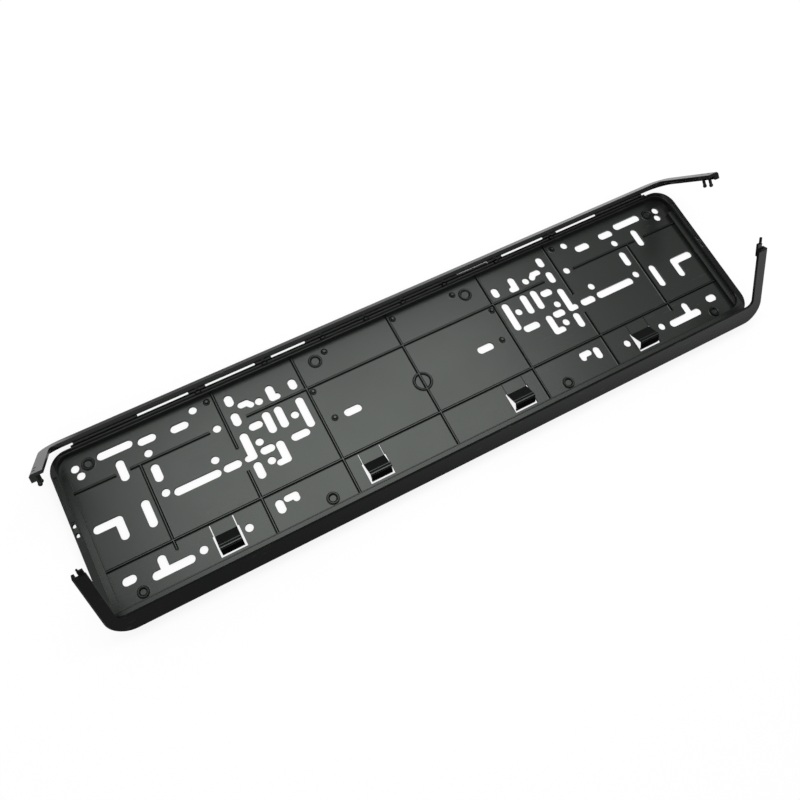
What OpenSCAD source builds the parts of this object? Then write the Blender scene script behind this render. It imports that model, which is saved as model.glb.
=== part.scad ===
// Number plate holder, moulded in one shot of black plastic.
// A base panel carries two U-shaped frames on film hinges, one along each long edge.
// The frames are drawn half open, as they leave the mould, and fold down over the plate.
// X runs along the plate, Y up the plate, Z out of the panel; Z = 0 is the back of the floor.

/* [Plate tray] */
// Length of the tray that takes the plate
tray_w = 522; // [516:1:560]
// Height of the tray that takes the plate
tray_h = 116; // [115:0.5:122]
// Rise of the rim above the floor
rim_rise = 6; // [4:0.5:8]
// Thickness of the floor
floor_t = 2; // [1.6:0.1:3]
// Thickness of the wall round the tray
wall_t = 2; // [1.4:0.1:2.4]
// Thickness of the flange on top of the wall
flange_t = 2; // [1.4:0.1:2.6]
// Width of the border at each short side
side_border = 4.5; // [4.2:0.1:6]
// Width of the border along the top
top_border = 4.5; // [4:0.1:8]
// Width of the border along the bottom
bottom_border = 9; // [6:0.5:12]
// Corner radius of the panel
panel_r = 15.5; // [12:0.5:18]

/* [Ribs] */
// Height of the ribs on the floor
rib_h = 1.8; // [1:0.1:2.5]
// Thickness of the ribs at the floor
rib_t = 1.7; // [1.2:0.1:2]
// Thickness of the ribs at their crest
rib_crest = 0.5; // [0.3:0.1:1]
// Height of the upper long rib above the middle
rib_up_y = 30.5; // [30:0.1:31]
// Depth of the lower long rib below the middle
rib_low_y = 29.5; // [28.5:0.1:29.8]
// Distance of the inner cross ribs from the middle
rib_in_x = 80.5; // [79:0.1:82]
// Distance of the cross ribs at the slot cluster
rib_mid_x = 144; // [143.8:0.1:144.2]
// Distance of the outer cross ribs
rib_out_x = 209; // [208.8:0.1:210]
// Width of the ledge at each short side, on which the plate's ends rest
ledge_inset = 4.6; // [3:0.1:5]
// Height of the ledge above the floor
ledge_h = 3; // [2:0.1:4]

/* [Fixing slots] */
// Width of the fixing slots
slot_w = 6.2; // [5:0.1:6.4]
// Radius of the round fixing holes
hole_r = 3; // [2.4:0.05:3.2]
// Distance between the two centre slots
centre_pitch = 114; // [112:0.5:116]
// Length of each centre slot
centre_slot_l = 14; // [12:0.5:16]

/* [Spring tabs] */
// Distance of the inner spring tabs from the middle
tab_in_x = 60.7; // [59:0.1:62]
// Distance of the outer spring tabs from the middle
tab_out_x = 175.3; // [174:0.1:176]
// Width of each spring tab
tab_w = 16.4; // [14:0.1:17]
// Gap between the end of a spring tab's slit and the tray's wall
tab_margin = 2.9; // [2:0.1:6]
// Width of the slit round a tab
tab_slit = 1.5; // [1:0.1:2]
// Rise of the wedge on a tab above the floor
wedge_h = 6.5; // [4:0.1:7]
// Length of the ramp of the wedge
wedge_ramp = 10.6; // [8:0.1:12]
// Length of the steep end of the wedge
wedge_end = 3.3; // [2.5:0.1:5]
// Thickness of the wedge's steep end
wedge_wall = 1.4; // [1:0.1:2]

/* [Frames] */
// How far the frames stand past the panel's short sides
frame_over = 0.5; // [0.3:0.1:1]
// Thickness of the frames' outer wall
frame_wall = 1.8; // [1.2:0.1:1.9]
// Depth of the frames from the hinge line to the front
frame_depth = 6.1; // [5.4:0.1:8]
// Thickness of the frames' front lip
lip_t = 2.2; // [1.6:0.1:2.6]
// Width of the upper frame's lip along its rail
upper_lip = 12; // [10:0.5:13]
// Width of the lower frame's lip along its rail
lower_lip = 15; // [12:0.5:15.5]
// Width of the lip on the arms
arm_lip = 8.8; // [8.2:0.1:11]
// Outer corner radius of the frames
frame_r = 16.5; // [16:0.5:20]
// Bevel on the frames' outer front edge
frame_bevel = 1.2; // [0.6:0.1:1.6]
// Angle at which the upper frame stands open
upper_open = 56; // [50:1:64]
// Angle at which the lower frame stands open
lower_open = 58; // [50:1:64]
// Height of the plane where the frames' arms meet
arm_meet_y = -6.9; // [-8:0.1:-6.5]
// Gap between the arm ends when both frames are shut
arm_gap = 1; // [0.4:0.1:1.2]

/* [Film hinges] */
// Slit between the panel and each frame
hinge_slit = 1.4; // [1.2:0.1:1.8]
// Width of each short hinge strap
strap_w = 13.2; // [8:0.2:14]
// Width of the long hinge strap at each end
end_strap_w = 47; // [30:1:50]
// Width of the widest hinge strap, in the middle
mid_strap_w = 132; // [60:1:150]
// Thickness of the film at the hinge line
film_t = 0.4; // [0.3:0.05:0.5]
// Width of the stiffening ribs across the straps
strap_rib_w = 2.6; // [1.5:0.1:4]
// Height of the stiffening ribs
strap_rib_h = 0.5; // [0.3:0.1:0.8]
// Distances of the short straps from the middle
strap_x = [100, 152];
// Distances of the stiffening ribs from the middle
strap_rib_x = [16, 52.5, 100, 152];

/* [Snap prongs] */
// Distance of the prong holes from the outer edge of the panel
prong_inset = 2.25; // [2.2:0.05:2.3]
// Height of the upper prong above the middle
prong_y = 8.3; // [8:0.1:9]
// Distance between the two prongs of an arm
prong_pitch = 7.1; // [6.5:0.1:7.2]
// Diameter of the prong holes
prong_hole_d = 3.4; // [3.2:0.05:3.6]
// Diameter of the prong shafts
prong_d = 2.3; // [2:0.05:2.4]
// Diameter of the prong balls
ball_d = 3; // [2.7:0.05:3.05]

/* [Hidden] */
$fn = 48;
// Overlap where one moulded form runs into another
bite = 0.4;
// Running gap between faces that pass each other
clear = 0.3;

flange_z = floor_t + rim_rise;
panel_w = tray_w + 2 * side_border;
top_y = tray_h / 2 + top_border;
bottom_y = -tray_h / 2 - bottom_border;
tray_r = panel_r - side_border;

// The hinge lines run just under the flange's upper face
hinge_z = flange_z - film_t;
upper_hinge_y = top_y + hinge_slit / 2;
lower_hinge_y = bottom_y - hinge_slit / 2;
front_z = hinge_z + frame_depth;
lip_z = front_z - lip_t;
wall_z = flange_z + clear;
half_gap = 0.15;
// Reach of the film from the hinge line into the frame's wall
tail_l = hinge_slit / 2 + 1.2;

// How far the panel's corners stay back from the two hinge edges
edge_set = 1.5;
// Distance from the corner's arc to the end of the ledge, and from there to the last strap
ledge_gap = 4;
strap_gap = 2;
ledge_half = panel_w / 2 - panel_r - ledge_gap;
end_strap_x = ledge_half - strap_gap - end_strap_w / 2;
frame_w = panel_w + 2 * frame_over;
// Block round the prong holes: its reach past the holes and its depth
pad_margin = 4;
block_depth = 4.5;

prong_x = panel_w / 2 - prong_inset;
prong_ys = [prong_y, prong_y - prong_pitch];
ball_drop = 0.2;
ball_z = flange_z - flange_t - ball_d / 2 - ball_drop;
dimple_d = 2;
dimple_h = 0.5;
end_wall_t = 1.2;

// The places below are those of a tray of 522 by 116 and spread with it
spread_x = tray_w / 522;
spread_y = tray_h / 116;

rib_gap = 0.4;
root_slit = 0.7;
tab_root_y = -rib_low_y * spread_y - rib_t / 2 - rib_gap;
tab_end_y = -tray_h / 2 + tab_margin + tab_slit;
tab_l = tab_root_y - tab_end_y;

// Round fixing holes, as [x, y] of the right half
round_holes = [
    [250, 47.5], [248, 41], [161, 52], [201, 36], [151, 31.5], [201, 4], [161.5, 10.5],
    [193.5, -44.5], [160, -44.5], [115.5, 37.5], [96.5, 16.5], [128, 9], [126, -7.5]
];
// Slots along X, as [inner end, outer end, y]
long_slots = [
    [208, 234, 48.5], [191.5, 205, 46], [167.5, 181, 44.5], [161, 196, 1], [145.5, 159, 1],
    [120, 130.5, 21.5], [119.5, 130.5, 1.5], [92, 106.5, 1], [240, 250, -41],
    [233.4, 254.5, 0.5], [200.5, 231, -46.3]
];
// Slots along Y, as [x, lower end, upper end]
cross_slots = [
    [221.5, 24, 40.5], [201, 13, 27], [216.5, -15, 6], [136, 26.5, 37.5], [136.5, -17, -3.5],
    [115.5, 10.5, 28.5], [106, 10.5, 28.5], [89, 2.5, 28], [135, 42.5, 52], [88, 34.5, 43.5],
    [134.5, -46, -35.5], [236.5, -14.5, 3.6], [221, -49.4, -34.5], [136.5, -1.6, 20.5],
    [115.5, -14, 4], [105, 33, 46]
];
// Narrow slots along X and along Y, which make the hooks of the cluster
narrow_long = [[133.4, 142.8, 1], [112.4, 123.5, -11.4], [99.3, 108.1, 35.6], [119.3, 130.5, -37.5]];
narrow_cross = [[122, -42.5, -35]];
// The bent slot, as the points of its middle line
bent_slot = [[128.4, 40.5], [124, 40.5], [121.8, 38]];
narrow_w = slot_w - 1;
// Ribs along X that stop short of the slots, as [inner end, outer end]
rib_up_spans = [[0, 128.5], [157, 216.5]];
rib_up_outer = 226.5;
// Ribs along Y at the slot cluster and outside it, as [lower end, upper end]
rib_mid_top = 11;
rib_mid_low = -7;
rib_out_end = -36.5;
ledge_top = 40;
// Raised marks of the mould, as [x, y, outer radius]
mould_rings = [[65, 47.8, 5], [240.5, 46.8, 4.4], [99.5, -52, 4.4], [239.5, -52.4, 4]];
// Small pegs, as [x, y]
pegs = [[55.5, 51.8], [71.6, 1.2], [77, 26.4], [149.5, 53]];
centre_peg = [3.6, 53.6];
ring_t = 1.7;
ring_slope = 0.6;
centre_ring_r = 7.4;
centre_ring_y = -2;
peg_r = 2.1;
peg_tip_r = 0.9;
peg_h = 2.1;
mark_h = 1.6;
// Grooves in the flange
groove_d = 1.2;
top_groove_w = 1.4;
top_land = 2.2;
side_groove_w = 2.6;
side_land = 1.1;
side_groove_gap = 3;
hole_groove_w = 2.8;
hole_groove_gap = 1.4;
// Stiffening ribs of the straps: length on the flange, thickness inside the wall
strap_rib_l = 3.9;
wall_rib_t = 0.8;
notch_w = 1.1;
// Stepped tongue at the end of the lower frame's right arm
block_w = 3.6;
block_l = 5.2;
block_t = 2;
block_root = 5;
pin_d = 2;
pin_l = 4.6;
// Its stub at the end of the left arm
stub_l = 2.2;
stub_pin_l = 1.8;
stub_pin_d = 1.4;
// Inner corner radius of the frames' lips
lip_r = 5;
crest_flat = 0.8;
through = floor_t + 2;

// Draws its children and their mirror image across the middle
module both_sides() {
    children();
    mirror([1, 0, 0]) children();
}

// Rectangle with round corners, from its four corner circles
module round_plate(w, y0, y1, r, h) {
    linear_extrude(h) {
        translate([-w / 2 + r, y0]) square([w - 2 * r, y1 - y0]);
        translate([-w / 2, y0 + r]) square([w, y1 - y0 - 2 * r]);
        for (x = [-w / 2 + r, w / 2 - r], y = [y0 + r, y1 - r]) {
            translate([x, y]) circle(r);
        }
    }
}

// Round-ended slot between two points, w wide, cut right through the floor
module slot_cut(a, b, w) {
    l = norm(b - a);
    turn = atan2(b[1] - a[1], b[0] - a[0]);
    // A slanted slot's sides lie just inside its end circles
    side = turn % 90 == 0 ? w : 0.98 * w;
    for (p = [a, b]) {
        translate([p[0], p[1], -1]) cylinder(h = through, d = w);
    }
    translate([a[0], a[1], -1]) rotate([0, 0, turn])
        translate([0, -side / 2, 0]) cube([l, side, through]);
}

// Slot along X from one outer end to the other
module slot_x(x0, x1, y, w) {
    slot_cut([x0 + w / 2, y], [x1 - w / 2, y], w);
}

// Slots along X of one width, placed on the slot field
module slots_along_x(list, w) {
    for (s = list) {
        slot_x(s[0] * spread_x, s[1] * spread_x, s[2] * spread_y, w);
    }
}

// Slots along Y of one width, placed on the slot field
module slots_along_y(list, w) {
    for (s = list) {
        x = s[0] * spread_x;
        slot_cut([x, s[1] * spread_y + w / 2], [x, s[2] * spread_y - w / 2], w);
    }
}

// All fixing holes and slots of the right half
module fixing_cuts() {
    for (p = round_holes) {
        translate([p[0] * spread_x, p[1] * spread_y, -1]) cylinder(h = through, r = hole_r);
    }
    slots_along_x(long_slots, slot_w);
    slots_along_y(cross_slots, slot_w);
    slots_along_x(narrow_long, narrow_w);
    slots_along_y(narrow_cross, narrow_w);
    bend = [for (p = bent_slot) [p[0] * spread_x, p[1] * spread_y]];
    slot_cut(bend[0], bend[1], narrow_w);
    slot_cut(bend[1], bend[2], narrow_w);
    slot_x((centre_pitch - centre_slot_l) / 2, (centre_pitch + centre_slot_l) / 2, spread_y,
        slot_w);
}

// Slit round three sides of a spring tab, leaving it hinged at its root.
// It is wide beside the wedge and narrow from there to the root.
module tab_slits(x) {
    wide_l = tab_slit + wedge_end + crest_flat + wedge_ramp;
    for (s = [-1, 1]) {
        translate([x + s * (tab_w + tab_slit) / 2 - tab_slit / 2, tab_end_y - tab_slit, -1])
            cube([tab_slit, wide_l, through]);
        translate([x + s * (tab_w + root_slit) / 2 - root_slit / 2, tab_end_y, -1])
            cube([root_slit, tab_l, through]);
    }
    translate([x - tab_w / 2 - tab_slit, tab_end_y - tab_slit, -1])
        cube([tab_w + 2 * tab_slit, tab_slit, through]);
}

// Wedge across the free end of a spring tab, which pushes the plate forward
module tab_wedge(x) {
    crest_y = tab_end_y + wedge_end;
    translate([x + tab_w / 2, 0, 0]) rotate([0, -90, 0]) linear_extrude(tab_w)
        polygon([
            [floor_t - bite, tab_end_y], [floor_t, tab_end_y],
            [floor_t + wedge_h, crest_y], [floor_t + wedge_h, crest_y + crest_flat],
            [floor_t, crest_y + wedge_ramp], [floor_t - bite, crest_y + wedge_ramp]
        ]);
}

// Hollow under the wedge: the tab's strip bends up over it
module tab_hollow(x) {
    crest_y = tab_end_y + wedge_end;
    translate([x + tab_w / 2 + bite, 0, 0]) rotate([0, -90, 0]) linear_extrude(tab_w + 2 * bite)
        polygon([
            [-1, tab_end_y + wedge_wall], [floor_t, tab_end_y + wedge_wall],
            [wedge_h, crest_y + wedge_wall / 2], [wedge_h, crest_y + crest_flat],
            [0, crest_y + wedge_ramp], [-1, crest_y + wedge_ramp]
        ]);
}

// Section of a rib, tapered from the floor to its crest
module rib_section() {
    polygon([
        [-rib_t / 2, -bite], [rib_t / 2, -bite], [rib_t / 2, 0], [rib_crest / 2, rib_h],
        [-rib_crest / 2, rib_h], [-rib_t / 2, 0]
    ]);
}

// One rib along X between x0 and x1
module rib_x(x0, x1, y) {
    translate([x0, y, floor_t]) rotate([90, 0, 90]) linear_extrude(x1 - x0) rib_section();
}

// One rib along Y between y0 and y1
module rib_y(x, y0, y1) {
    translate([x, y1, floor_t]) rotate([90, 0, 0]) linear_extrude(y1 - y0) rib_section();
}

// Ribs of the right half; they stop short of the fixing slots
module half_ribs() {
    half = tray_h / 2 + bite;
    ledge_x = tray_w / 2 - ledge_inset;
    up_y = rib_up_y * spread_y;
    for (span = rib_up_spans) {
        rib_x(span[0] * spread_x - bite, span[1] * spread_x, up_y);
    }
    rib_x(rib_up_outer * spread_x, ledge_x + bite, up_y);
    rib_x(-bite, ledge_x + bite, -rib_low_y * spread_y);
    rib_y(rib_in_x * spread_x, -half, half);
    rib_y(rib_mid_x * spread_x, rib_mid_top * spread_y, half);
    rib_y(rib_mid_x * spread_x, -half, rib_mid_low * spread_y);
    rib_y(rib_out_x * spread_x, rib_out_end * spread_y, up_y);
    translate([ledge_x, -half, floor_t - bite])
        cube([ledge_inset + bite, half + ledge_top * spread_y, ledge_h + bite]);
}

// Ring left by the mould, with sloping sides
module mould_ring(r) {
    h = mark_h + bite;
    bore_r = r - ring_t;
    difference() {
        cylinder(h = h, r1 = r, r2 = r - ring_slope);
        translate([0, 0, -1]) cylinder(h = h + 2, r = bore_r);
        translate([0, 0, h - ring_slope]) cylinder(h = ring_slope + 1, r1 = bore_r, r2 = r + 1 - ring_slope);
    }
}

// Small peg with a narrower top
module peg() {
    cylinder(h = peg_h + bite, r1 = peg_r, r2 = peg_tip_r);
}

// Rings and pegs of the right half
module half_marks() {
    for (m = mould_rings) {
        translate([m[0] * spread_x, m[1] * spread_y, floor_t - bite]) mould_ring(m[2]);
    }
    for (p = pegs) {
        translate([p[0] * spread_x, p[1] * spread_y, floor_t - bite]) peg();
    }
}

// Floor, wall and flange in one: a tray whose border is open at the back
module tray_shell() {
    difference() {
        round_plate(panel_w, bottom_y + edge_set, top_y - edge_set, panel_r, flange_z);
        translate([0, 0, floor_t])
            round_plate(tray_w, -tray_h / 2, tray_h / 2, tray_r, rim_rise + 1);
        border_hollow();
    }
    for (y = [top_y - edge_set - bite, bottom_y]) {
        translate([-ledge_half, y, flange_z - flange_t])
            cube([2 * ledge_half, edge_set + bite, flange_t]);
    }
    both_sides() prong_block();
}

// Open space under the flange, outside the tray's wall
module border_hollow() {
    wall_w = tray_w + 2 * wall_t;
    wall_h = tray_h + 2 * wall_t;
    difference() {
        translate([0, 0, -1])
            round_plate(panel_w + 2, bottom_y - 1, top_y + 1, panel_r, flange_z - flange_t + 1);
        translate([0, 0, -2])
            round_plate(wall_w, -wall_h / 2, wall_h / 2, tray_r + wall_t, flange_z + 3);
    }
}

// Block under the flange round the prong holes, outside the tray's wall
module prong_block() {
    translate([tray_w / 2 + bite, prong_ys[1] - pad_margin, flange_z - block_depth])
        cube([side_border - bite, prong_pitch + 2 * pad_margin, block_depth]);
}

// Grooves in the flange: along the top edge, up each short side and round the prong holes
module flange_grooves() {
    groove_z = flange_z - groove_d;
    side_x = panel_w / 2 - side_land;
    side_y = prong_ys[0] + pad_margin + side_groove_gap;
    hole_y = prong_ys[1] - pad_margin + hole_groove_gap;
    hole_l = prong_pitch + 2 * (pad_margin - hole_groove_gap);
    translate([-ledge_half, top_y - top_land - top_groove_w, groove_z])
        cube([2 * ledge_half, top_groove_w, groove_d + 1]);
    both_sides() {
        translate([side_x - side_groove_w, side_y, groove_z])
            cube([side_groove_w, top_y - edge_set - panel_r - side_y, groove_d + 1]);
        translate([side_x - hole_groove_w, hole_y, groove_z])
            cube([hole_groove_w, hole_l, groove_d + 1]);
    }
}

// Film of all straps on one side of a hinge line, from its near edge to its far edge
module strap_films(y0, y1) {
    film_z = hinge_z - film_t / 2;
    for (s = [-1, 1]) {
        for (x = strap_x) {
            translate([s * x * spread_x - strap_w / 2, y0, film_z]) cube([strap_w, y1 - y0, film_t]);
        }
        translate([s * end_strap_x - end_strap_w / 2, y0, film_z])
            cube([end_strap_w, y1 - y0, film_t]);
    }
    translate([-mid_strap_w * spread_x / 2, y0, film_z])
        cube([mid_strap_w * spread_x, y1 - y0, film_t]);
}

// Stiffening ribs on the flange, right across its groove
module strap_ribs(y0) {
    for (x = strap_rib_x, s = [-1, 1]) {
        translate([s * x * spread_x - strap_rib_w / 2, y0, flange_z - groove_d - bite])
            cube([strap_rib_w, strap_rib_l, groove_d + bite + strap_rib_h]);
    }
}

// Notches in the flange on both sides of each stiffening rib
module strap_notches(y0) {
    for (x = strap_rib_x, s = [-1, 1], side = [-1, 1]) {
        translate([s * x * spread_x + side * (strap_rib_w + notch_w) / 2 - notch_w / 2, y0,
            flange_z - groove_d])
            cube([notch_w, strap_rib_l, groove_d + 1]);
    }
}

// Ribs inside a frame's wall, which go on from those on the flange
module wall_ribs(edge_y) {
    for (x = strap_rib_x, s = [-1, 1]) {
        translate([s * x * spread_x - strap_rib_w / 2, edge_y - frame_wall - wall_rib_t,
            wall_z + clear])
            cube([strap_rib_w, wall_rib_t + bite, lip_z + bite - wall_z - clear]);
    }
}

// U-shaped path of a frame's outer edge, swept with the section of wall and bevel.
// The rail lies at +edge_y and the arms run down to end_y.
module frame_wall_sweep(edge_y, end_y) {
    corner_y = edge_y - frame_r;
    straight = frame_w - 2 * frame_r;
    for (s = [-1, 1]) {
        translate([s * (frame_w / 2 - frame_r), corner_y, 0]) rotate([0, 0, s > 0 ? 0 : 90])
            rotate_extrude(angle = 90) wall_section(frame_r);
    }
    translate([-straight / 2, corner_y, 0]) rotate([90, 0, 90])
        linear_extrude(straight) wall_section(frame_r);
    both_sides() {
        translate([frame_w / 2 - frame_r, corner_y, 0]) rotate([90, 0, 0])
            linear_extrude(corner_y - end_y) wall_section(frame_r);
    }
}

// Section of the outer wall, with its outer face at u
module wall_section(u) {
    polygon([
        [u - frame_wall, wall_z], [u, wall_z], [u, front_z - frame_bevel],
        [u - frame_bevel, front_z], [u - frame_wall, front_z]
    ]);
}

// Front lip of a frame: a flat U with rounded corners
module frame_lip(edge_y, end_y, rail_lip) {
    inset = frame_wall - bite;
    cut_y = end_y - 2 * frame_r;
    translate([0, 0, lip_z]) difference() {
        round_plate(frame_w - 2 * inset, end_y - frame_r, edge_y - inset, frame_r - inset, lip_t);
        translate([0, 0, -1])
            round_plate(frame_w - 2 * arm_lip, cut_y, edge_y - rail_lip, lip_r, lip_t + 2);
        translate([-frame_w, cut_y, -1]) cube([2 * frame_w, 2 * frame_r, lip_t + 2]);
    }
}

// Ball-tipped prong, hanging from the lip of an arm
module prong() {
    translate([0, 0, ball_z]) cylinder(h = lip_z + bite - ball_z, d = prong_d);
    translate([0, 0, ball_z]) sphere(d = ball_d);
}

// Short wall across the end of an upper arm, outside the other frame's tongue
module arm_end_wall(end_y) {
    inner_x = prong_x - prong_d / 2;
    translate([inner_x, end_y, wall_z])
        cube([frame_w / 2 - frame_wall + bite - inner_x, end_wall_t, lip_z + bite - wall_z]);
}

// Upper frame folded shut, with its hinge line along the panel's top edge
module upper_frame_shut() {
    edge_y = upper_hinge_y + hinge_slit / 2 + frame_wall;
    end_y = arm_meet_y + arm_gap / 2;
    difference() {
        union() {
            frame_wall_sweep(edge_y, end_y);
            frame_lip(edge_y, end_y, upper_lip);
        }
        both_sides() {
            for (y = prong_ys) {
                translate([prong_x, y, front_z - dimple_h]) cylinder(h = dimple_h + 1, d = dimple_d);
            }
        }
    }
    wall_ribs(edge_y);
    both_sides() {
        arm_end_wall(end_y);
        for (y = prong_ys) {
            translate([prong_x, y, 0]) prong();
        }
    }
}

// Lower frame folded shut, drawn with its rail at +Y and mirrored into place
module lower_frame_shut() {
    edge_y = -lower_hinge_y + hinge_slit / 2 + frame_wall;
    end_y = -(arm_meet_y - arm_gap / 2);
    mirror([0, 1, 0]) {
        frame_wall_sweep(edge_y, end_y);
        frame_lip(edge_y, end_y, lower_lip);
        wall_ribs(edge_y);
        tongue(end_y, block_l, pin_l, pin_d);
        mirror([1, 0, 0]) tongue(end_y, stub_l, stub_pin_l, stub_pin_d);
    }
}

// Stepped tongue at an arm's end, which slides in behind the other frame's arm
module tongue(end_y, l, tip_l, tip_d) {
    block_x = prong_x - prong_d / 2 - clear - block_w;
    top = lip_z - clear;
    translate([block_x, end_y - l, top - block_t]) cube([block_w, l + bite, block_t]);
    translate([block_x, end_y, top - block_t])
        cube([block_w, block_root, block_t + clear + bite]);
    translate([block_x + block_w - tip_d / 2, end_y - l + bite, top - block_t / 2])
        rotate([90, 0, 0]) cylinder(h = tip_l + bite, d = tip_d);
}

// Turns its children about a hinge line along X
module swing(hinge_y, angle) {
    translate([0, hinge_y, hinge_z]) rotate([angle, 0, 0])
        translate([0, -hinge_y, -hinge_z]) children();
}

module panel() {
    color([0.16, 0.165, 0.165]) {
        difference() {
            union() {
                tray_shell();
                both_sides() {
                    half_ribs();
                    half_marks();
                    for (x = [tab_in_x, tab_out_x]) {
                        tab_wedge(x);
                    }
                }
                rib_y(0, -tray_h / 2 - bite, tray_h / 2 + bite);
                translate([0, centre_ring_y, floor_t - bite]) mould_ring(centre_ring_r);
                translate([centre_peg[0] * spread_x, centre_peg[1] * spread_y, floor_t - bite]) peg();
            }
            both_sides() {
                fixing_cuts();
                for (x = [tab_in_x, tab_out_x]) {
                    tab_slits(x);
                    tab_hollow(x);
                }
                for (y = prong_ys) {
                    translate([prong_x, y, flange_z - block_depth - 1])
                        cylinder(h = block_depth + 2, d = prong_hole_d);
                }
            }
            flange_grooves();
            strap_notches(top_y - strap_rib_l);
            strap_notches(bottom_y);
        }
        strap_films(top_y - bite, upper_hinge_y - half_gap);
        strap_films(lower_hinge_y + half_gap, bottom_y + bite);
        strap_ribs(top_y - strap_rib_l);
        strap_ribs(bottom_y);
    }
}

module upper_frame() {
    color([0.1, 0.105, 0.105]) {
        swing(upper_hinge_y, -upper_open) upper_frame_shut();
        strap_films(upper_hinge_y + half_gap, upper_hinge_y + tail_l);
    }
}

module lower_frame() {
    color([0.1, 0.105, 0.105]) {
        swing(lower_hinge_y, lower_open) lower_frame_shut();
        strap_films(lower_hinge_y - tail_l, lower_hinge_y - half_gap);
    }
}

panel();
upper_frame();
lower_frame();
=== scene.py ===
# %% [markdown]
# # A car number plate holder, dressed for its photograph
#
# The part is one moulding of black polypropylene: a shallow slotted tray, and two
# U-shaped frames that stand half open on rows of thin film hinges. The construction
# model gives every shape its exact place. This lesson adds what a product photograph
# shows besides: small rounded edges, a satin skin with fine grain, whitened film at the
# hinges, and the soft light of a studio.

# %% Load the construction model
import math
import bmesh
import bpy
import numpy as np
from mathutils import Euler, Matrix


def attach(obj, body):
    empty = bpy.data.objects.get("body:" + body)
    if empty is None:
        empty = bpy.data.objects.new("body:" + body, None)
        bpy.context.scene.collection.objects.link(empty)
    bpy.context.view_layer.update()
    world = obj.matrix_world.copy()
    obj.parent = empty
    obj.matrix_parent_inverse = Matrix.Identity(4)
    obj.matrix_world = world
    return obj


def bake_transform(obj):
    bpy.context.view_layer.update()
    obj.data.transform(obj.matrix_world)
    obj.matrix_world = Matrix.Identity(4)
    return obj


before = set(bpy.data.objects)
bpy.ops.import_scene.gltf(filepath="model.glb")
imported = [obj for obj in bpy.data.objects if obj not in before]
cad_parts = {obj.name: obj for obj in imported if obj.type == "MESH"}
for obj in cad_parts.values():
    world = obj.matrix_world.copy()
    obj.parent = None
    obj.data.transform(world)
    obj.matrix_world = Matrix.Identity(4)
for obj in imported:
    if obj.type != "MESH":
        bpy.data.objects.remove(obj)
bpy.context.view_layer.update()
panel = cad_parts["panel"]
upper_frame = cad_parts["upper_frame"]
lower_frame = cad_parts["lower_frame"]

# %% [markdown]
# ## The camera
#
# The photograph looks down on the open part from a little left of and below its middle.
# Its place was solved from pairs of slots that mirror each other, so the camera below is
# a measured one: a position, three turns and a focal length on a 36 mm sensor.

# %% Camera
scene = bpy.context.scene
lens_data = bpy.data.cameras.new("product_camera")
lens_data.sensor_width = 36.0
lens_data.sensor_fit = "HORIZONTAL"
lens_data.lens = 36.571
camera = bpy.data.objects.new("product_camera", lens_data)
camera.location = (-0.162533, -0.177175, 0.562973)
camera.rotation_euler = Euler(
    [math.radians(a) for a in (20.96814785, -4.4962817, -28.00866157)], "XYZ")
scene.collection.objects.link(camera)
scene.camera = camera
scene.view_settings.view_transform = "Standard"
print("camera at", tuple(round(c, 4) for c in camera.location))

# %% [markdown]
# ## Helpers for node trees
#
# Every material, and the world too, is a small network of nodes. Three helpers keep the
# cells below short: one adds a node, one adds a Math node with its inputs, and one turns
# a distance into a smooth mask between 0 and 1.

# %% Helpers
def node_of(tree, kind, x, y, **settings):
    """Adds one node of a kind at (x, y) on the sheet and sets its plain properties."""
    node = tree.nodes.new(kind)
    node.location = (x, y)
    for key, value in settings.items():
        setattr(node, key, value)
    return node


def feed(tree, socket, value):
    """Links value to socket if it is an output socket, and else sets it as a number."""
    if hasattr(value, "is_output"):
        tree.links.new(value, socket)
    else:
        socket.default_value = value


def maths(tree, operation, a, b=0.0, x=0, y=0, c=None):
    """Adds one Math node on two or three numbers or sockets. Returns its output socket."""
    node = node_of(tree, "ShaderNodeMath", x, y, operation=operation)
    for socket, value in zip(node.inputs, (a, b, c)):
        if value is not None:
            feed(tree, socket, value)
    return node.outputs[0]


def ramp(tree, value, low, high, x=0, y=0):
    """Smooth step of value: 0 below low, 1 above high, t*t*(3-2t) between them."""
    node = node_of(tree, "ShaderNodeMapRange", x, y, interpolation_type="SMOOTHSTEP")
    feed(tree, node.inputs["Value"], value)
    node.inputs["From Min"].default_value = low
    node.inputs["From Max"].default_value = high
    return node.outputs[0]


def axes_of(tree, vector, x=0, y=0):
    """Splits a vector socket into its X, Y and Z sockets."""
    node = node_of(tree, "ShaderNodeSeparateXYZ", x, y)
    tree.links.new(vector, node.inputs[0])
    return node.outputs
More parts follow.
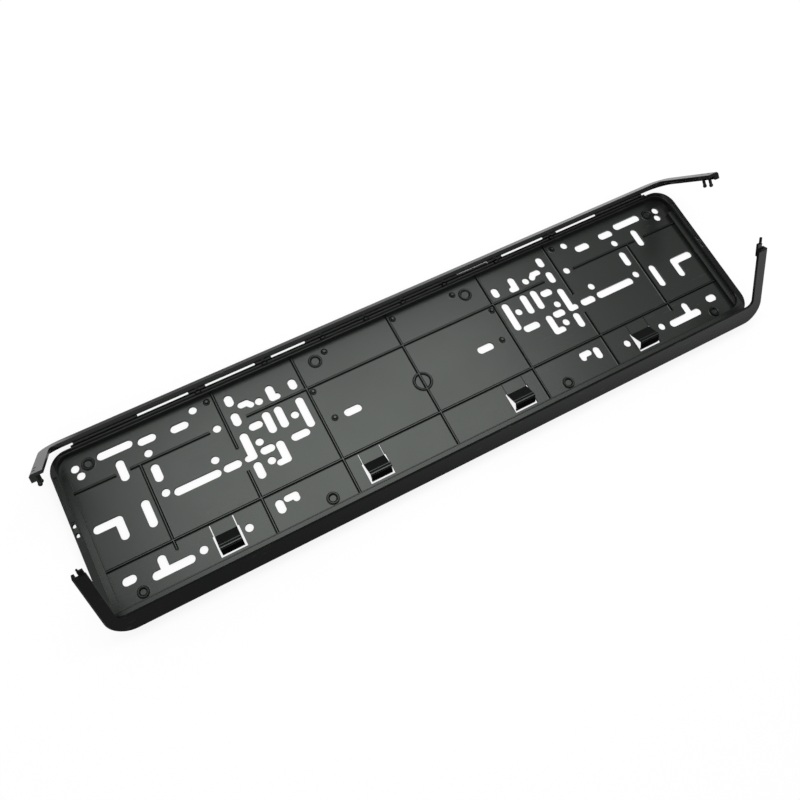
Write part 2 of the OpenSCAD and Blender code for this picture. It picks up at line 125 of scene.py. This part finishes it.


# %% [markdown]
# ## Floor and backdrop
#
# The background of the photograph is pure white, and the part only dims it a little where
# it stands. A real white floor in plain light would come out grey, so the floor mixes two
# things: for rays that come from the camera, from gloss or through glass it shines with
# strength 1, which is white, and a share of plain diffuse white keeps the shadow. What
# the plastic's gloss mirrors was set by comparing renders with the photograph: for gloss
# the floor's strength falls off towards the left, it dips in a band along the lower rail,
# and one patch at the far left stays brighter.
# These three are painted light: painted shade on the left and along the rail, and a painted
# highlight at the far left, all in what the plastic mirrors.

# %% Floor
shadow_share = 0.16
shadow_full, shadow_gone = 0.5, 2.5
# Painted reflection: for glossy rays the floor is darker on the left, so the plastic mirrors
# painted shade there.
dim_end, white_end = -0.20, 0.30
dim_level, dim_rise = 0.04, 0.96
# Painted shade in reflection: the floor's gloss strength dips in a band along the lower rail.
rail_y, rail_near, rail_far = -0.085, 0.02, 0.07
rail_level, rail_rise = 0.25, 0.75
# Painted highlight in reflection: a brighter patch of floor at the far left.
patch_start, patch_full, patch_depth, patch_level = 0.235, 0.262, 0.05, 0.75
floor_paint = bpy.data.materials.new("white_floor")
floor_paint.use_nodes = True
ft = floor_paint.node_tree
ft.nodes.clear()
path = node_of(ft, "ShaderNodeLightPath", -900, 300)
straight = maths(ft, "ADD", path.outputs["Is Camera Ray"],
                 path.outputs["Is Transmission Ray"], -600, 300)
seen = maths(ft, "ADD", straight, path.outputs["Is Glossy Ray"], -400, 300)
seen = maths(ft, "MINIMUM", seen, 1.0, -200, 300)
floor_place = node_of(ft, "ShaderNodeTexCoord", -900, 0)
floor_axes = axes_of(ft, floor_place.outputs["Object"], -700, 0)
away = node_of(ft, "ShaderNodeVectorMath", -700, 600, operation="LENGTH")
ft.links.new(floor_place.outputs["Object"], away.inputs[0])
far_part = ramp(ft, away.outputs["Value"], shadow_full, shadow_gone, -500, 600)
near_part = maths(ft, "SUBTRACT", 1.0, far_part, -300, 600)
matt_share = maths(ft, "MULTIPLY", near_part, shadow_share, -100, 600)
share = maths(ft, "MULTIPLY", seen, maths(ft, "SUBTRACT", 1.0, matt_share, 100, 600), 300, 400)
# Painted light for glossy rays: dim to the left, darker along the rail, brighter in the
# far-left patch.
gloss_painted_light = ramp(ft, floor_axes[0], dim_end, white_end, -500, 0)
gloss_painted_light = maths(ft, "MULTIPLY_ADD", gloss_painted_light, dim_rise, -300, 0, c=dim_level)
from_rail = maths(ft, "ABSOLUTE", maths(ft, "ADD", floor_axes[1], -rail_y, -700, -300), 0,
                  -500, -300)
rail_painted_shade = ramp(ft, from_rail, rail_near, rail_far, -300, -300)
rail_painted_shade = maths(ft, "MULTIPLY_ADD", rail_painted_shade, rail_rise, -100, -300, c=rail_level)
gloss_painted_light = maths(ft, "MULTIPLY", gloss_painted_light, rail_painted_shade, -100, -100)
leftwards = maths(ft, "MULTIPLY", floor_axes[0], -1.0, -700, -600)
far_left_painted_highlight = maths(ft, "MULTIPLY", ramp(ft, leftwards, patch_start, patch_full, -500, -600),
                 ramp(ft, floor_axes[1], 0.0, patch_depth, -500, -800), -300, -600)
far_left_painted_highlight = maths(ft, "MULTIPLY", far_left_painted_highlight, patch_level, -100, -600)
gloss_painted_light = maths(ft, "MAXIMUM", gloss_painted_light, far_left_painted_highlight, 0, -300)
gloss_loss = maths(ft, "SUBTRACT", 1.0, gloss_painted_light, -100, 0)
gloss_loss = maths(ft, "MULTIPLY", gloss_loss, path.outputs["Is Glossy Ray"], 100, 0)
glow = node_of(ft, "ShaderNodeEmission", 600, 100)
feed(ft, glow.inputs["Strength"], maths(ft, "SUBTRACT", 1.0, gloss_loss, 300, 0))
matt = node_of(ft, "ShaderNodeBsdfDiffuse", 600, -200)
matt.inputs["Color"].default_value = (0.8, 0.8, 0.8, 1)
blend_floor = node_of(ft, "ShaderNodeMixShader", 1000, 0)
ft.links.new(share, blend_floor.inputs[0])
ft.links.new(matt.outputs[0], blend_floor.inputs[1])
ft.links.new(glow.outputs[0], blend_floor.inputs[2])
floor_out = node_of(ft, "ShaderNodeOutputMaterial", 1300, 0)
ft.links.new(blend_floor.outputs[0], floor_out.inputs["Surface"])

reach, under = 4.0, -0.0002
floor_mesh = bpy.data.meshes.new("studio_floor")
floor_mesh.from_pydata([(-reach, -reach, under), (reach, -reach, under),
                        (reach, reach, under), (-reach, reach, under)], [], [(0, 1, 2, 3)])
floor_mesh.materials.append(floor_paint)
studio_floor = bpy.data.objects.new("studio_floor", floor_mesh)
scene.collection.objects.link(studio_floor)
print("floor half width", reach, "m")

# %% [markdown]
# ## Light
#
# One soft box hangs behind and to the right of the part, in the direction in which the
# flat tray mirrors the camera. Black plastic shows little else than what it mirrors, so
# this box draws the broad soft glow in the middle of the tray. The room gives the rest:
# bright overhead, dim near the horizon, so that sloping faces and walls turn dark.

# %% Lamp
def soft_box(name, place, width, depth, power):
    """A rectangular area lamp at place, facing straight down."""
    data = bpy.data.lights.new(name, "AREA")
    data.shape = "RECTANGLE"
    data.size, data.size_y = width, depth
    data.energy = power
    lamp = bpy.data.objects.new(name, data)
    lamp.location = place
    scene.collection.objects.link(lamp)
    return lamp


key_box = soft_box("key_soft_box", (0.08, 0.20, 0.86), 0.80, 0.45, 4.4)
print("lamp", key_box.name, "energy", key_box.data.energy)

# %% World
dim_height, bright_height = 0.38, 0.86
gloss_level_low, gloss_level_rise = 0.10, 0.80
world = bpy.data.worlds.new("studio_room")
scene.world = world
world.use_nodes = True
wt = world.node_tree
wt.nodes.clear()
way = node_of(wt, "ShaderNodeTexCoord", -900, -200)
height = axes_of(wt, way.outputs["Generated"], -700, -200)[2]
overhead = ramp(wt, height, dim_height, bright_height, -500, -200)
gloss_level = maths(wt, "MULTIPLY_ADD", overhead, gloss_level_rise, -300, -200,
                    c=gloss_level_low)
room_path = node_of(wt, "ShaderNodeLightPath", -900, 300)
room_level = 0.92
level = node_of(wt, "ShaderNodeMix", 0, 0, data_type="FLOAT")
feed(wt, level.inputs["Factor"], room_path.outputs["Is Glossy Ray"])
level.inputs["A"].default_value = room_level
feed(wt, level.inputs["B"], gloss_level)
white_way = maths(wt, "ADD", room_path.outputs["Is Camera Ray"],
                  room_path.outputs["Is Transmission Ray"], -300, 300)
final_level = node_of(wt, "ShaderNodeMix", 250, 100, data_type="FLOAT")
feed(wt, final_level.inputs["Factor"], white_way)
feed(wt, final_level.inputs["A"], level.outputs[0])
final_level.inputs["B"].default_value = 1.0
room = node_of(wt, "ShaderNodeBackground", 600, 0)
room.inputs["Color"].default_value = (1, 1, 1, 1)
feed(wt, room.inputs["Strength"], final_level.outputs[0])
world_out = node_of(wt, "ShaderNodeOutputWorld", 900, 0)
wt.links.new(room.outputs[0], world_out.inputs["Surface"])
print("room level", room_level)

# %% [markdown]
# ## Effects that several materials share
#
# Spark-eroded steel leaves a fine grain on moulded polypropylene, the melt's flow leaves
# it unevenly glossy, and handling leaves a few short pale scuffs. Each effect is a node
# group with named inputs and outputs, so every material can ask for its own amount.

# %% Node groups
def new_group(name, inputs, outputs):
    """A shader node group with sockets given as (name, type, default) and (name, type)."""
    group = bpy.data.node_groups.new(name, "ShaderNodeTree")
    for label, kind, default in inputs:
        socket = group.interface.new_socket(label, in_out="INPUT", socket_type=kind)
        if default is not None:
            socket.default_value = default
    for label, kind in outputs:
        group.interface.new_socket(label, in_out="OUTPUT", socket_type=kind)
    return group


def noise(tree, vector, scale, detail, x=0, y=0):
    """Fractal noise of a vector socket: its value, about 0.5 on average."""
    node = node_of(tree, "ShaderNodeTexNoise", x, y)
    tree.links.new(vector, node.inputs["Vector"])
    feed(tree, node.inputs["Scale"], scale)
    node.inputs["Detail"].default_value = detail
    return node.outputs[0]


grain_group = new_group(
    "moulded_grain",
    [("Coords", "NodeSocketVector", None), ("Grain Scale", "NodeSocketFloat", 2600.0),
     ("Flow Scale", "NodeSocketFloat", 18.0)],
    [("Height", "NodeSocketFloat"), ("Mottle", "NodeSocketFloat")])
g_in = node_of(grain_group, "NodeGroupInput", -600, 0)
g_out = node_of(grain_group, "NodeGroupOutput", 600, 0)
grain_group.links.new(noise(grain_group, g_in.outputs["Coords"],
                            g_in.outputs["Grain Scale"], 2.0, 0, 200),
                      g_out.inputs["Height"])
grain_group.links.new(noise(grain_group, g_in.outputs["Coords"],
                            g_in.outputs["Flow Scale"], 4.0, 0, -200),
                      g_out.inputs["Mottle"])

# %% Scuff group
scuff_group = new_group(
    "handling_scuffs",
    [("Coords", "NodeSocketVector", None), ("Amount", "NodeSocketFloat", 0.5)],
    [("Mask", "NodeSocketFloat")])
s_in = node_of(scuff_group, "NodeGroupInput", -900, 0)
s_out = node_of(scuff_group, "NodeGroupOutput", 900, 0)
stretch = node_of(scuff_group, "ShaderNodeMapping", -700, 0)
stretch.inputs["Rotation"].default_value = (0, 0, math.radians(24))
stretch.inputs["Scale"].default_value = (90, 700, 300)
scuff_group.links.new(s_in.outputs["Coords"], stretch.inputs["Vector"])
streaks = noise(scuff_group, stretch.outputs[0], 1.0, 1.0, -450, 100)
patches = noise(scuff_group, s_in.outputs["Coords"], 14.0, 2.0, -450, -200)
thin = ramp(scuff_group, streaks, 0.66, 0.74, -200, 100)
where = ramp(scuff_group, patches, 0.50, 0.62, -200, -200)
scuffed = maths(scuff_group, "MULTIPLY", thin, where, 100, 0)
scuffed = maths(scuff_group, "MULTIPLY", scuffed, s_in.outputs["Amount"], 300, 0)
scuff_group.links.new(scuffed, s_out.inputs["Mask"])
print("groups:", grain_group.name, scuff_group.name)

# %% [markdown]
# ## Moulded plastic
#
# Black polypropylene has a very dark base under a clear satin gloss, with a faint green
# cast. The tray was grained in the mould, and the frames are smoother. The flange falls
# away a little towards its outer edge, which turns it dark in the picture, and its narrow
# lands are slightly crowned: a Bump node tilts the normals there, from a height that sinks
# with the distance past the tray. Bent film whitens, so the two hinge lines are paler.

# %% Masks from the place on the part
tray_half_w, tray_half_h = 0.261, 0.058
hinge_y_up, hinge_y_low, hinge_z = 0.0632, -0.0677, 0.0076
fold_full, fold_gone = 0.0004, 0.0011
end_share, rise_weight = 0.25, 2.0


def past_tray(tree, place, x=0, y=0):
    """Fall line of the flange in metres: max(|x| - half width, (|y| - half height) / 4, 0)."""
    side = maths(tree, "SUBTRACT", maths(tree, "ABSOLUTE", place[0], 0, x, y), tray_half_w,
                 x + 200, y)
    ends = maths(tree, "SUBTRACT", maths(tree, "ABSOLUTE", place[1], 0, x, y - 150),
                 tray_half_h, x + 200, y - 150)
    ends = maths(tree, "MULTIPLY", ends, end_share, x + 300, y - 150)
    return maths(tree, "MAXIMUM", maths(tree, "MAXIMUM", side, ends, x + 400, y), 0.0,
                 x + 600, y)


def crown(tree, across, middle, half, x=0, y=0):
    """Height of a crowned land: -d*d / (4 half), with d = |across - middle| up to half.

    Its slope grows from 0 in the middle to one half, about 27 degrees, at both edges.
    """
    off = maths(tree, "ABSOLUTE", maths(tree, "SUBTRACT", across, middle, x, y), 0,
                x + 200, y)
    off = maths(tree, "MINIMUM", off, half, x + 400, y)
    return maths(tree, "MULTIPLY", maths(tree, "MULTIPLY", off, off, x + 600, y),
                 -0.25 / half, x + 800, y)


def bent_film(tree, place, x=0, y=0):
    """Mask of the whitened fold: 1 on the two hinge lines, 0 from 1.1 mm away."""
    near = []
    for i, line in enumerate((hinge_y_up, hinge_y_low)):
        off = maths(tree, "SUBTRACT", place[1], line, x, y - 200 * i)
        near.append(maths(tree, "ABSOLUTE", off, 0, x + 200, y - 200 * i))
    gap = maths(tree, "MINIMUM", near[0], near[1], x + 400, y)
    rise = maths(tree, "ABSOLUTE", maths(tree, "SUBTRACT", place[2], hinge_z, x, y - 400),
                 0, x + 200, y - 400)
    rise = maths(tree, "MULTIPLY", rise, rise_weight, x + 400, y - 400)
    far = maths(tree, "MAXIMUM", gap, rise, x + 600, y)
    return maths(tree, "SUBTRACT", 1.0, ramp(tree, far, fold_full, fold_gone, x + 800, y),
                 x + 1000, y)


# %% Plastic material
green_cast = (0.93, 1.0, 0.945, 1.0)
base_cast = (0.94, 1.05, 0.96)
pale_plastic = (0.20, 0.205, 0.20, 1)
scuff_roughening, scuff_paleness, pale_mix = 0.25, 0.35, 0.5
flange_low, flange_high = 0.0070, 0.0075
inner_land, top_land = (0.05845, 0.00045), (0.0614, 0.0011)


def black_plastic(name, base, roughness, ior, grain_depth, flow, scuffs, flange_fall=0.0):
    """Satin black polypropylene. Roughness is its mean; flow is how much it varies.

    With flange_fall above 0 the normals of the flange tilt too, by its slope and lands.
    """
    paint = bpy.data.materials.new(name)
    paint.use_nodes = True
    t = paint.node_tree
    t.nodes.clear()
    coords = node_of(t, "ShaderNodeTexCoord", -1800, 0)
    place = axes_of(t, coords.outputs["Object"], -1600, -300)
    grain = node_of(t, "ShaderNodeGroup", -1500, 300)
    grain.node_tree = grain_group
    t.links.new(coords.outputs["Object"], grain.inputs["Coords"])
    scuff = node_of(t, "ShaderNodeGroup", -1500, 600)
    scuff.node_tree = scuff_group
    scuff.inputs["Amount"].default_value = scuffs
    t.links.new(coords.outputs["Object"], scuff.inputs["Coords"])
    shader = node_of(t, "ShaderNodeBsdfPrincipled", 900, 0)
    shader.inputs["IOR"].default_value = ior
    shader.inputs["Specular Tint"].default_value = green_cast
    rough = maths(t, "MULTIPLY_ADD", grain.outputs["Mottle"], flow, -900, 200,
                  c=roughness - flow / 2)
    rough = maths(t, "MULTIPLY_ADD", scuff.outputs["Mask"], scuff_roughening, -700, 200,
                  c=rough)
    t.links.new(rough, shader.inputs["Roughness"])
    white_film = bent_film(t, place, -1400, -500)
    pale = maths(t, "MULTIPLY_ADD", scuff.outputs["Mask"], scuff_paleness, -300, -300,
                 c=white_film)
    tint = node_of(t, "ShaderNodeMix", 300, 100, data_type="RGBA")
    feed(t, tint.inputs["Factor"], maths(t, "MULTIPLY", pale, pale_mix, -100, -300))
    tint.inputs["A"].default_value = (*(base * c for c in base_cast), 1)
    tint.inputs["B"].default_value = pale_plastic
    t.links.new(tint.outputs["Result"], shader.inputs["Base Color"])
    bump = node_of(t, "ShaderNodeBump", 600, -300)
    bump.inputs["Distance"].default_value = grain_depth
    bump.inputs["Strength"].default_value = 1.0
    t.links.new(grain.outputs["Height"], bump.inputs["Height"])
    if flange_fall:
        sink = node_of(t, "ShaderNodeBump", 350, -500)
        sink.inputs["Distance"].default_value = 1.0
        high = ramp(t, place[2], flange_low, flange_high, -1400, -1100)
        drop = maths(t, "MULTIPLY", past_tray(t, place, -1400, -1300), -flange_fall,
                     -600, -1200)
        both_ways = maths(t, "ABSOLUTE", place[1], 0, -1400, -1600)
        lands = ((both_ways, *inner_land), (place[1], *top_land))
        for i, (across, middle, half) in enumerate(lands):
            drop = maths(t, "ADD", drop, crown(t, across, middle, half, -1200, -1700 - 200 * i),
                         -200, -1700 - 200 * i)
        t.links.new(maths(t, "MULTIPLY", drop, high, -300, -1100), sink.inputs["Height"])
        t.links.new(sink.outputs[0], bump.inputs["Normal"])
    t.links.new(bump.outputs[0], shader.inputs["Normal"])
    out = node_of(t, "ShaderNodeOutputMaterial", 1200, 0)
    t.links.new(shader.outputs[0], out.inputs["Surface"])
    return paint


panel_skin = black_plastic("panel_plastic", 0.0045, 0.30, 1.45, 0.00001, 0.10, 0.30, 0.22)
frame_skin = black_plastic("frame_plastic", 0.0034, 0.27, 1.45, 0.000006, 0.06, 0.45)
for node, skin in ((panel, panel_skin), (upper_frame, frame_skin), (lower_frame, frame_skin)):
    node.data.materials.clear()
    node.data.materials.append(skin)

# %% [markdown]
# ## Rounded edges
#
# No moulded edge is sharp. The construction model's triangles are first welded and its
# flat faces merged, and then a narrow bevel rounds every edge that turns by more than
# thirty degrees, so that edges catch light as the real ones do. Clamp Overlap narrows the
# whole bevel to suit the tightest corner of the mesh. On the upper frame that would leave
# nothing, so it gets a narrower bevel without the clamp.

# %% Edge rounding
def round_edges(piece, width, clamp):
    """Weld, merge flat faces, then bevel edges sharper than 30 degrees by width metres."""
    weld = piece.modifiers.new("weld", "WELD")
    weld.merge_threshold = 0.000001
    flat = piece.modifiers.new("flat_faces", "DECIMATE")
    flat.decimate_type = "DISSOLVE"
    flat.angle_limit = math.radians(1.0)
    edge = piece.modifiers.new("rounded_edges", "BEVEL")
    edge.width = width
    edge.segments = 2
    edge.limit_method = "ANGLE"
    edge.angle_limit = math.radians(30)
    edge.harden_normals = True
    edge.use_clamp_overlap = clamp


for node, width, clamp in ((panel, 0.0002, True), (upper_frame, 0.00012, False),
                           (lower_frame, 0.0002, True)):
    round_edges(node, width, clamp)
    print(node.name, len(node.data.polygons), "triangles before rounding")

# %% [markdown]
# ## Feet of the ribs, rings and pegs
#
# A moulded rib never meets the floor in a sharp corner: the steel is rounded there, and
# the plastic keeps a small hollow curve on both sides. That curve turns away from the lamp
# at once, so it draws the dark lines of the tray. It is a surface of two parameters: the
# section of the fillet, and the way along the foot it is carried on.

# %% Fillet sections
hidden = 0.0002


def foot_section(slope, reach, steps=7):
    """Closed section of a fillet as (out, up) pairs, with the flank's foot at (0, 0).

    The arc touches the floor and the flank at the distance reach from the foot. Its
    radius is r = reach / tan(slope / 2), and its points are
    (reach - r sin(a), r - r cos(a)) for a from 0 to slope. Two corners inside the plastic
    close it.
    """
    r = reach / np.tan(slope / 2)
    a = np.linspace(0, slope, steps)
    arc = np.stack([reach - r * np.sin(a), r - r * np.cos(a)], axis=-1)
    inner = arc[-1, 0] - hidden
    corners = [[inner, arc[-1, 1]], [inner, -hidden], [reach, -hidden]]
    return np.concatenate([arc, corners])


def carried(section, path, out, closed):
    """Carries a section along a path: point(i, j) = path(i) + u(j) out(i) + v(j) up.

    Returns points and faces of the tube; an open one gets a face at each end.
    """
    up = np.array([0.0, 0.0, 1.0])
    grid = (path[:, None, :] + section[None, :, :1] * out[:, None, :]
            + section[None, :, 1:] * up)
    n, m = len(path), len(section)
    i, j = np.meshgrid(np.arange(n if closed else n - 1), np.arange(m), indexing="ij")
    i2, j2 = (i + 1) % n, (j + 1) % m
    quads = np.stack([i * m + j, i2 * m + j, i2 * m + j2, i * m + j2], axis=-1)
    faces = quads.reshape(-1, 4).tolist()
    if not closed:
        faces += [list(range(m)), [(n - 1) * m + j for j in range(m)]]
    return grid.reshape(-1, 3), faces


# %% Feet along the ribs and round the marks
mm, floor_top, tray_end = 0.001, 2.0, 57.9
rib_half, rib_slope = 0.00085, math.atan2(1.8, 0.6)
rib_reach, ring_reach, bore_reach, peg_reach = 0.0007, 0.0006, 0.0005, 0.0008
ring_slope, bore_slope = math.atan2(1.6, 0.6), math.radians(89)
ring_wall, peg_radius, peg_slope = 1.7, 0.0021, math.atan2(2.1, 1.2)
across_ribs = [(30.5, 0, 128.5), (30.5, 157, 216.5), (30.5, 226.5, 256.2), (-29.5, 0, 256.2)]
upright_ribs = [(80.5, -tray_end, tray_end), (144, 11, tray_end), (144, -tray_end, -7),
                (209, -36.5, 30.5)]
marks = [(65, 47.8, 5.0), (240.5, 46.8, 4.4), (99.5, -52, 4.4), (239.5, -52.4, 4.0)]
studs = [(55.5, 51.8), (71.6, 1.2), (77, 26.4), (149.5, 53)]


def straight_feet():
    """The two fillets of every rib, one on each side of its line."""
    lines = []
    for y, a, b in across_ribs:
        for side in (-1, 1):
            ends = np.array([[side * a, y, floor_top], [side * b, y, floor_top]])
            lines.append((ends * mm, np.array([0.0, 1.0, 0.0])))
    for x, a, b in upright_ribs:
        for side in (-1, 1):
            ends = np.array([[side * x, a, floor_top], [side * x, b, floor_top]])
            lines.append((ends * mm, np.array([1.0, 0.0, 0.0])))
    lines.append((np.array([[0, -tray_end, floor_top], [0, tray_end, floor_top]]) * mm,
                  np.array([1.0, 0.0, 0.0])))
    section = foot_section(rib_slope, rib_reach)
    for ends, normal in lines:
        for way in (-1, 1):
            out = np.broadcast_to(way * normal, ends.shape)
            yield carried(section, ends + rib_half * out, out, False)


def round_foot(x, y, radius, slope, reach, inward=False, around=40):
    """A fillet round a circle of a radius, on its outer side or inside its bore."""
    a = np.linspace(0, 2 * np.pi, around, endpoint=False)
    ray = np.stack([np.cos(a), np.sin(a), np.zeros(around)], axis=-1)
    centre = np.array([x, y, floor_top]) * mm
    return carried(foot_section(slope, reach), centre + radius * ray,
                   -ray if inward else ray, True)


def mark_feet():
    """The fillets of the mould rings, outside and in, and of the small pegs."""
    rings = [(0, -2, 7.4)] + [(s * x, y, r) for x, y, r in marks for s in (-1, 1)]
    for x, y, r in rings:
        yield round_foot(x, y, r * mm, ring_slope, ring_reach)
        yield round_foot(x, y, (r - ring_wall) * mm, bore_slope, bore_reach, inward=True)
    for x, y in [(3.6, 53.6)] + [(s * x, y) for x, y in studs for s in (-1, 1)]:
        yield round_foot(x, y, peg_radius, peg_slope, peg_reach)


# %% One mesh of all feet
def joined_mesh(name, parts):
    """One mesh of many (points, faces) parts, with its normals turned outwards."""
    points, faces, start = [], [], 0
    for p, f in parts:
        points.append(p)
        faces += [[start + v for v in face] for face in f]
        start += len(p)
    mesh = bpy.data.meshes.new(name)
    mesh.from_pydata(np.concatenate(points).tolist(), [], faces)
    shell = bmesh.new()
    shell.from_mesh(mesh)
    bmesh.ops.recalc_face_normals(shell, faces=shell.faces)
    shell.to_mesh(mesh)
    shell.free()
    return mesh


feet_mesh = joined_mesh("rib_feet", list(straight_feet()) + list(mark_feet()))
feet_mesh.polygons.foreach_set("use_smooth", np.ones(len(feet_mesh.polygons), dtype=bool))
feet_mesh.set_sharp_from_angle(angle=math.radians(40))
feet_mesh.materials.append(panel_skin)
rib_feet = bpy.data.objects.new("rib_feet", feet_mesh)
scene.collection.objects.link(rib_feet)
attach(rib_feet, "panel")
print(rib_feet.name, len(feet_mesh.polygons), "faces")

# %% [markdown]
# ## The bent film of the hinges
#
# In the construction model the film of each strap stops just short of the hinge line, so
# that the two frames can turn. On the real part it runs through and folds there. One thin
# skin for each hinge closes that gap: every strap of it is a flat tube that is a little
# thicker at the fold. Each skin is one fixed mesh across its hinge line, and it does not
# follow the panel or the frames. On the upper hinge the slit to the right of the middle
# strap is closed by a thin web too, so no light comes through it.
# That web is painted shade: a sheet where the slit lies in shade, and its pale fold line stands
# in for the grey seen through the slit.

# %% Film straps
film_half_t = 0.00023
film_reach = 0.00075
strap_half, strap_trim = 0.0066, 0.00005
strap_spans = [(-0.066, 0.066)] + [
    (side * middle - strap_half, side * middle + strap_half)
    for middle in (0.100, 0.152) for side in (-1, 1)
] + [(-0.244, -0.197), (0.197, 0.244)]


def squared(v):
    """Pulls a circle's coordinates towards a square: the root of |v| with v's sign."""
    return np.sign(v) * np.abs(v) ** 0.5


def film_strap(x0, x1, line_y, sections=7, around=12):
    """A closed flat tube along X between x0 and x1, across the hinge line at line_y.

    Its section is a flattened ring: y = reach * cos(a), z = half thickness * sin(a),
    each raised to the power 0.5 with its sign kept, so that it is a rounded box. The
    section is repeated at evenly spaced x, and a fan of faces closes each end.
    """
    a = np.linspace(0, 2 * np.pi, around, endpoint=False)
    ring_y = line_y + film_reach * squared(np.cos(a))
    ring_z = hinge_z + film_half_t * squared(np.sin(a))
    xs = np.linspace(x0 + strap_trim, x1 - strap_trim, sections)
    grid_x, grid_y = np.meshgrid(xs, ring_y, indexing="ij")
    grid_z = np.broadcast_to(ring_z, grid_x.shape)
    points = np.stack([grid_x, grid_y, grid_z], axis=-1).reshape(-1, 3)
    ends = np.array([[xs[0], line_y, hinge_z], [xs[-1], line_y, hinge_z]])
    i, j = np.meshgrid(np.arange(sections - 1), np.arange(around), indexing="ij")
    k = (j + 1) % around
    quads = np.stack([i * around + j, i * around + k, (i + 1) * around + k,
                      (i + 1) * around + j], axis=-1).reshape(-1, 4)
    j = np.arange(around)
    k = (j + 1) % around
    first, last = sections * around, sections * around + 1
    base = (sections - 1) * around
    caps = np.concatenate([np.stack([np.full(around, first), k, j], axis=-1),
                           np.stack([np.full(around, last), base + j, base + k], axis=-1)])
    return np.concatenate([points, ends]), quads, caps


def film_row(name, line_y, spans):
    """All straps of one hinge as a single fixed mesh across the hinge line."""
    points, faces, start = [], [], 0
    for x0, x1 in spans:
        p, quads, caps = film_strap(x0, x1, line_y)
        points.append(p)
        faces += (quads + start).tolist() + (caps + start).tolist()
        start += len(p)
    mesh = bpy.data.meshes.new(name)
    mesh.from_pydata(np.concatenate(points).tolist(), [], faces)
    mesh.materials.append(panel_skin)
    mesh.polygons.foreach_set("use_smooth", np.ones(len(mesh.polygons), dtype=bool))
    piece = bpy.data.objects.new(name, mesh)
    scene.collection.objects.link(piece)
    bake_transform(piece)
    return piece


# Painted shade: a web over the slit right of the middle strap, with a pale fold line in place
# of the grey seen through it.
slit_web_span = (0.0659, 0.0931)
upper_film = film_row("upper_hinge_film", hinge_y_up,
                      strap_spans + [slit_web_span])
lower_film = film_row("lower_hinge_film", hinge_y_low, strap_spans)
for film in (upper_film, lower_film):
    print(film.name, len(film.data.polygons), "faces")
